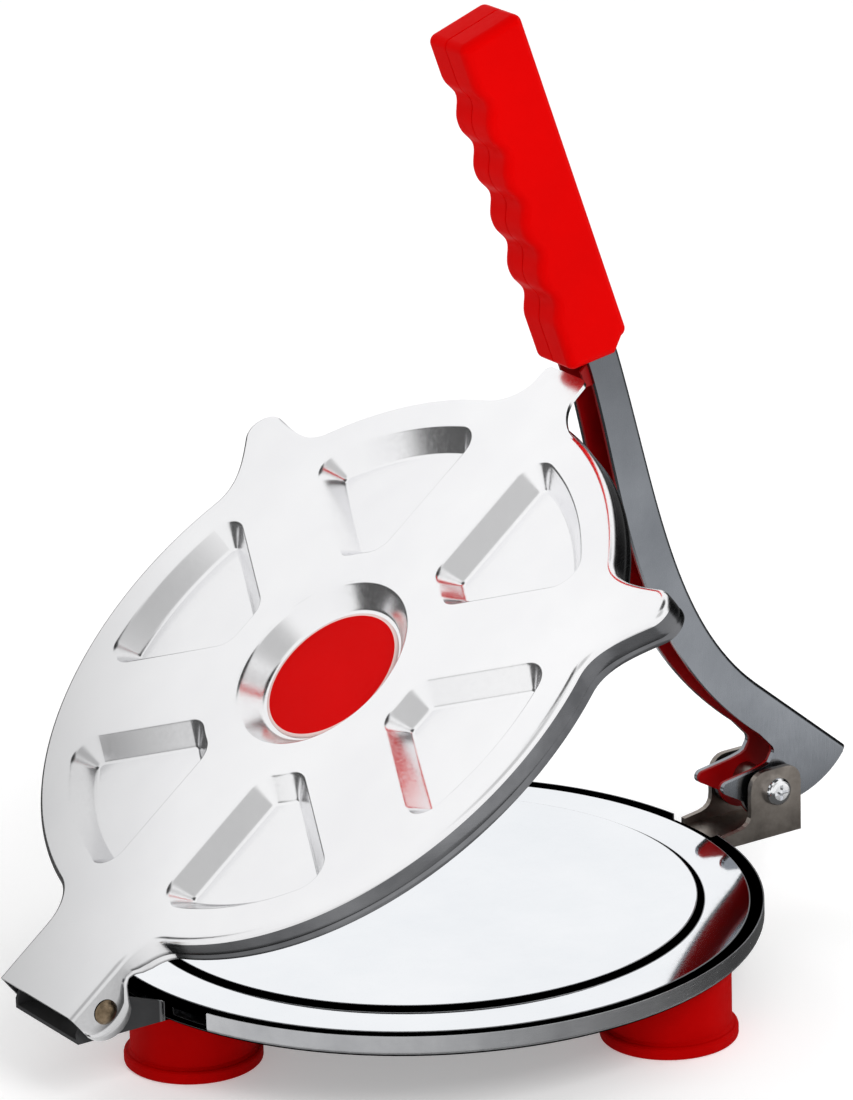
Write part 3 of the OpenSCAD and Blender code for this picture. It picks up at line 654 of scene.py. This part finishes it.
# the channel: where it starts and first bends along the grip, and its back and front there
CHANNEL_FROM, CHANNEL_BEND = 14, 94.6
CHANNEL_BACK, CHANNEL_FRONT = 3.5, 12.6
BACK_CURVE = ((-32.9, 86.2), (-28.7, 49.8), (-2.5, 28.1))
FRONT_CURVE = ((-42.4, 87.1), (-42.4, 45.8), (-2.7, 14.9))
HEEL = (24.6, 5.6)
CHANNEL_HALF_W, CHANNEL_SHEET, CHANNEL_BEND_R = 6.2, 1.2, 1.4
CHANNEL_STEP = 3.0
BEND_ANGLES = (90, 67.5, 45, 22.5, 0)


def straight_then_curve(w, curve):
    """A path down the grip at depth w, and on along the curve."""
    return [grip_pt(CHANNEL_FROM, w)] + bezier(grip_pt(CHANNEL_BEND, w), *curve, 40)


def lever():
    """The channel: a web along its back, two cheeks bent from it, and their cut edges."""
    shell = Shell()
    back = resample(straight_then_curve(CHANNEL_BACK, BACK_CURVE) + [HEEL], CHANNEL_STEP)
    front = straight_then_curve(CHANNEL_FRONT, FRONT_CURVE)
    # the cheek's edge from the heel: under the pivot and round it, the lower nose, the notch
    # between the noses, then the upper nose and the front
    edge = bezier(HEEL, (21.5, 0.5), (15.5, -3.4), (9.2, -4.8), 10)[1:]
    edge += arc(0, 0, 8.3, -50, -165, 22)
    edge += arc(-12.8, 2.4, 1.6, 235, 100, 10)
    edge += bezier((-5.5, 5.1), (-2.5, 5.6), (-0.6, 5.9), (0.4, 6.7), 6)
    edge += arc(-0.4, 9.4, 2.1, -20, 50, 8)
    edge += resample(front, CHANNEL_STEP)[::-1]
    inner_half_w = CHANNEL_HALF_W - CHANNEL_SHEET

    def add(points, y):
        return shell.ring([from_pivot(x, y, z) for x, z in points])

    columns = []
    for side, angles in ((-1, BEND_ANGLES), (1, BEND_ANGLES[::-1])):
        for a in angles:
            inset, drop = rounding(CHANNEL_BEND_R, a)
            columns.append(add(beside(back, -inset), side * (CHANNEL_HALF_W - drop)))
    shell.join(columns, closed=False)
    cheeks = []
    for side, column in ((-1, columns[0]), (1, columns[-1])):
        outer = add(edge, side * CHANNEL_HALF_W)
        inner = add(edge, side * inner_half_w)
        web = add(beside(back, -CHANNEL_SHEET), side * inner_half_w)
        shell.add([column + outer])
        shell.join([outer, inner], closed=False)
        shell.add([web + inner])
        cheeks.append((column, web, outer, inner))
    near_web, far_web = cheeks[0][1], cheeks[1][1]
    shell.join([near_web, far_web], closed=False)
    for k in (0, -1):
        shell.add([[c[k] for c in columns] + [far_web[k], near_web[k]]])
    # the cheeks' own end edges, where the outline meets the web
    for column, web, outer, inner in cheeks:
        shell.add([
            (column[-1], outer[0], inner[0], web[-1]),
            (outer[-1], column[0], web[0], inner[-1]),
        ])
    return shell


piece("lever", lever(), [LEVER], "lever", ("lever_channel",), sharp=40)

# ---- grip ----

GRIP_LEN, GRIP_HALF, GRIP_DEPTH, GRIP_EDGE, GRIP_CORNER = 92.0, 8.1, 18.5, 2.4, 2.2
CORNER_INSET_MAX = 1.6
# the lower end's blunt point: how far out and how deep it lies, and how far its back is cut
POINT_OUT, POINT_DEPTH, POINT_CUT = 2, 5.5, 1
# five hollows along the front, with four crests for the fingers between them
HOLLOWS, HOLLOW_FROM, HOLLOW_PITCH, HOLLOW_DEPTH, HOLLOW_POWER = 5, 17.3, 13.9, 2.0, 1.3
FRONT_POINTS, BACK_POINTS = 150, 60
# the groove where the halves meet: inset, and distance from the joint
SEAM = [(0.35, 0.03), (0.1, 0.12), (0, 0.4)]


def grip_front(s):
    """The front's depth at s along the grip."""
    p = (s - HOLLOW_FROM) / HOLLOW_PITCH
    if -0.5 < p < HOLLOWS - 0.5:
        return GRIP_DEPTH - HOLLOW_DEPTH * ((1 + math.cos(2 * math.pi * p)) / 2) ** HOLLOW_POWER
    return GRIP_DEPTH


def grip_outline(e):
    """The grip's outline seen from the side, e inside its surface."""
    c = GRIP_CORNER - min(e, CORNER_INSET_MAX)
    points = arc(e + c, e + c, c, 270, 180, 8)
    points += arc(e + c, grip_front(0) - e - c, c, 180, 90, 8)
    for i in range(1, FRONT_POINTS):
        s = e + GRIP_CORNER + (GRIP_LEN - 2 * e - 2 * GRIP_CORNER) * i / FRONT_POINTS
        points.append((s, grip_front(s) - e))
    points += arc(GRIP_LEN - e - c, GRIP_DEPTH - e - c, c, 90, 0, 8)
    points += [(GRIP_LEN + POINT_OUT - e, POINT_DEPTH)]
    points += arc(GRIP_LEN - POINT_CUT - e - c, e + c, c, 0, -90, 8)
    last, first = points[-1][0], points[0][0]
    return points + [(lerp(last, first, k / BACK_POINTS), e) for k in range(1, BACK_POINTS)]


def grip_half(side):
    shell = Shell()
    steps = list(SEAM)
    for a in range(0, 91, 15):
        inset, drop = rounding(GRIP_EDGE, a)
        steps.append((inset, GRIP_HALF - drop))
    rings = []
    for e, y in steps:
        points = [grip_pt(s, w) for s, w in grip_outline(e)]
        rings.append(shell.ring([from_pivot(x, side * y, z) for x, z in points]))
    shell.join(rings)
    shell.add([rings[0], rings[-1]])
    return shell


for side, name in ((-1, "near"), (1, "far")):
    half = (f"grip_{name}_half",)
    piece("grip_" + name, grip_half(side), [GRIP], "lever", half, sharp=50)

# ---- CAD nodes that keep their shape ----

KEPT = {
    "base_pan": PAN,
    "base_disc": DISC,
    "lever_clevis": DULL,
    "clevis_rivets": DULL,
    "hinge_rivet": BRASS,
    "hinge_washers": SKIRT,
    "pivot_screw": CHROME,
    "pivot_nut": CHROME,
    "pivot_washers": BLACK,
    "foot_hinge_side": FOOT,
    "foot_near": FOOT,
    "foot_far": FOOT,
    "foot_screws": CHROME,
    "foot_washers": SKIRT,
    "foot_nuts": CHROME,
    "top_disc": MIRROR,
    "lever_lining": LINING,
    "pivot_bush": DULL,
}
for name, material in KEPT.items():
    obj = frame["nodes"][name]
    obj.data.materials.clear()
    obj.data.materials.append(material)
    obj.data.shade_smooth()
    obj.data.set_sharp_from_angle(angle=math.radians(32))

# ---- floor and light ----

# Black cards round the press, seen only in its steel, as directions round the vertical:
# where a card's edge starts, where it is full, and the same at its other edge.
BACK_CARD = (66, 74, 160, 168)
RIGHT_CARD = (-30, -15, 42, 50)
NEAR_CARD = (-175, -40, 42, 50)
# on the floor, in metres from its middle: where each shade starts and where it is full
CARDS_ON_FLOOR = (0.1, 0.16)
NEAR_ON_FLOOR = (0.168, 0.155)
UNDER_PRESS = (0.112, 0.09)
# what a full shade adds to the floor that the steel sees, and that floor's brightness
FLOOR_SHADE, FLOOR_SEEN = -0.88, 0.97
# two cards stand tall: how far up, as a direction's Z, they start and are full
TALL_CARDS = [(BACK_CARD, 0.2, 0.08), (RIGHT_CARD, 0.5, 0.4)]
CARD_SHADE = -0.97
# dark flags over and beside the press: direction, inner and outer angle, and how dark
FLAGS = [
    ((0.02, -0.1, 1.0), 14, 23, 0.95),
    ((0.95, -0.1, 0.3), 16, 36, 0.95),
    ((-0.26, -0.7, 0.67), 6, 28, 0.42),
]
FLOOR_SIZE = 6  # in metres
FLOOR_GREY, FLOOR_ROUGH, FLOOR_GLOW = 0.86, 0.7, 0.3
AMBIENT = 0.62


def math_node(tree, operation, *values):
    """A Math node fed with numbers and sockets; returns its output."""
    node = tree.nodes.new("ShaderNodeMath")
    node.operation = operation
    for i, value in enumerate(values):
        if isinstance(value, (int, float)):
            node.inputs[i].default_value = value
        else:
            tree.links.new(value, node.inputs[i])
    return node.outputs[0]


def smooth_range(tree, value, lower, upper, at_lower, at_upper):
    node = tree.nodes.new("ShaderNodeMapRange")
    node.interpolation_type = "SMOOTHSTEP"
    node.inputs["From Min"].default_value = lower
    node.inputs["From Max"].default_value = upper
    node.inputs["To Min"].default_value = at_lower
    node.inputs["To Max"].default_value = at_upper
    tree.links.new(value, node.inputs["Value"])
    return node.outputs["Result"]


def fade(tree, value, start, end):
    """Smoothly from 0 at start to 1 at end."""
    if start < end:
        return smooth_range(tree, value, start, end, 0.0, 1.0)
    return smooth_range(tree, value, end, start, 1.0, 0.0)


def flag(tree, direction, towards, inner, outer, depth):
    """How bright the studio stays round a dark flag: 1 away from it, 1 - depth at its middle."""
    dot = tree.nodes.new("ShaderNodeVectorMath")
    dot.operation = "DOT_PRODUCT"
    tree.links.new(direction, dot.inputs[0])
    dot.inputs[1].default_value = Vector(towards).normalized()
    far, near = math.cos(math.radians(outer)), math.cos(math.radians(inner))
    return smooth_range(tree, dot.outputs["Value"], far, near, 1.0, 1.0 - depth)


def sector(tree, split, start, full, end, gone):
    """1 between two directions round the vertical, fading out past them."""
    round_z = math_node(tree, "ARCTAN2", split.outputs["Y"], split.outputs["X"])
    opens = fade(tree, round_z, math.radians(start), math.radians(full))
    shuts = fade(tree, round_z, math.radians(gone), math.radians(end))
    return math_node(tree, "MULTIPLY", opens, shuts)


def split_xyz(tree, place):
    split = tree.nodes.new("ShaderNodeSeparateXYZ")
    tree.links.new(place, split.inputs[0])
    return split


def choose(tree, ray, no, yes):
    """The shader yes for one kind of ray, and no for all the others."""
    path = tree.nodes.new("ShaderNodeLightPath")
    mix = tree.nodes.new("ShaderNodeMixShader")
    tree.links.new(path.outputs[ray], mix.inputs[0])
    tree.links.new(no, mix.inputs[1])
    tree.links.new(yes, mix.inputs[2])
    return mix.outputs[0]


def floor():
    """A white table; polished steel sees the feet of the black cards and the press's own
    shade on it."""
    bpy.ops.mesh.primitive_plane_add(size=FLOOR_SIZE, location=(0, 0, 0))
    obj = bpy.context.object
    obj.name = "floor"
    mat, tree, shader = new_material("floor_white")
    nodes, links = tree.nodes, tree.links
    shader.inputs["Base Color"].default_value = (FLOOR_GREY, FLOOR_GREY, FLOOR_GREY, 1)
    shader.inputs["Roughness"].default_value = FLOOR_ROUGH
    glow = nodes.new("ShaderNodeEmission")
    glow.inputs["Strength"].default_value = FLOOR_GLOW
    table = nodes.new("ShaderNodeAddShader")
    links.new(shader.outputs[0], table.inputs[0])
    links.new(glow.outputs[0], table.inputs[1])

    place = nodes.new("ShaderNodeTexCoord").outputs["Object"]
    split = split_xyz(tree, place)
    length = nodes.new("ShaderNodeVectorMath")
    length.operation = "LENGTH"
    links.new(place, length.inputs[0])
    away = length.outputs["Value"]
    back, right = sector(tree, split, *BACK_CARD), sector(tree, split, *RIGHT_CARD)
    cards = math_node(tree, "MAXIMUM", back, right)
    cards = math_node(tree, "MULTIPLY", cards, fade(tree, away, *CARDS_ON_FLOOR))
    near = sector(tree, split, *NEAR_CARD)
    near = math_node(tree, "MULTIPLY", near, fade(tree, away, *NEAR_ON_FLOOR))
    shade = math_node(tree, "MAXIMUM", near, fade(tree, away, *UNDER_PRESS))
    dark = math_node(tree, "MAXIMUM", cards, shade)
    seen = nodes.new("ShaderNodeEmission")
    strength = math_node(tree, "MULTIPLY_ADD", dark, FLOOR_SHADE, FLOOR_SEEN)
    links.new(strength, seen.inputs["Strength"])
    surface = choose(tree, "Is Glossy Ray", table.outputs[0], seen.outputs[0])
    links.new(surface, nodes["Material Output"].inputs[0])
    obj.data.materials.append(mat)


def world():
    """A white studio; polished steel sees the cards and flags in it."""
    studio = bpy.data.worlds.new("studio")
    bpy.context.scene.world = studio
    studio.use_nodes = True
    tree = studio.node_tree
    nodes, links = tree.nodes, tree.links
    nodes.clear()
    out = nodes.new("ShaderNodeOutputWorld")
    direction = nodes.new("ShaderNodeTexCoord").outputs["Generated"]
    split = split_xyz(tree, direction)
    factors = [flag(tree, direction, *settings) for settings in FLAGS]
    for card, top, full in TALL_CARDS:
        low = fade(tree, split.outputs["Z"], top, full)
        shade = math_node(tree, "MULTIPLY", sector(tree, split, *card), low)
        factors.append(math_node(tree, "MULTIPLY_ADD", shade, CARD_SHADE, 1.0))
    level = factors[0]
    for factor in factors[1:]:
        level = math_node(tree, "MULTIPLY", level, factor)

    def background(strength, colour=None):
        node = nodes.new("ShaderNodeBackground")
        node.inputs["Strength"].default_value = strength
        node.inputs["Color"].default_value = (1, 1, 1, 1)
        if colour is not None:
            links.new(colour, node.inputs["Color"])
        return node.outputs[0]

    lit = choose(tree, "Is Glossy Ray", background(AMBIENT), background(1.0, level))
    links.new(choose(tree, "Is Camera Ray", lit, background(1.0)), out.inputs[0])


def lamp(name, place, target, size, power):
    """A soft lamp that the steel doesn't mirror. Places and sizes are in metres."""
    data = bpy.data.lights.new(name, "AREA")
    data.shape = "RECTANGLE"
    data.size, data.size_y = size
    data.energy = power
    obj = bpy.data.objects.new(name, data)
    bpy.context.scene.collection.objects.link(obj)
    obj.location = place
    aim = Vector(target) - Vector(place)
    obj.rotation_euler = aim.to_track_quat("-Z", "Y").to_euler()
    obj.visible_glossy = False


floor()
world()
lamp("key", (-0.15, -1.1, 1.0), (0, 0, 0.12), (0.5, 0.5), 8)
lamp("back", (-0.3, 1.0, 0.8), (0, 0, 0.1), (0.9, 0.6), 3)
lamp("right", (1.1, -0.2, 0.6), (0, 0, 0.1), (0.5, 0.7), 2)

# ---- camera ----

AZIMUTH, ELEVATION, ROLL = math.radians(-33.63), math.radians(19.2), math.radians(-1.45)
DISTANCE = 1.6803  # in metres
TARGET = from_base(4.59, 0, 115.24)


def camera():
    """Looks at TARGET from the near side, round towards the hinge and a little above."""
    back = Vector((
        math.sin(AZIMUTH) * math.cos(ELEVATION),
        -math.cos(AZIMUTH) * math.cos(ELEVATION),
        math.sin(ELEVATION),
    ))
    right = Vector((math.cos(AZIMUTH), math.sin(AZIMUTH), 0))
    up = back.cross(right)
    x = right * math.cos(ROLL) + up * math.sin(ROLL)
    y = up * math.cos(ROLL) - right * math.sin(ROLL)
    data = bpy.data.cameras.new("camera")
    data.lens = 226.37
    data.sensor_width = 36
    data.clip_start = 0.1
    data.clip_end = 20
    obj = bpy.data.objects.new("camera", data)
    bpy.context.scene.collection.objects.link(obj)
    obj.matrix_world = Matrix((x, y, back)).transposed().to_4x4()
    obj.location = TARGET + back * DISTANCE
    bpy.context.scene.camera = obj


camera()
bpy.context.scene.view_settings.view_transform = "Standard"
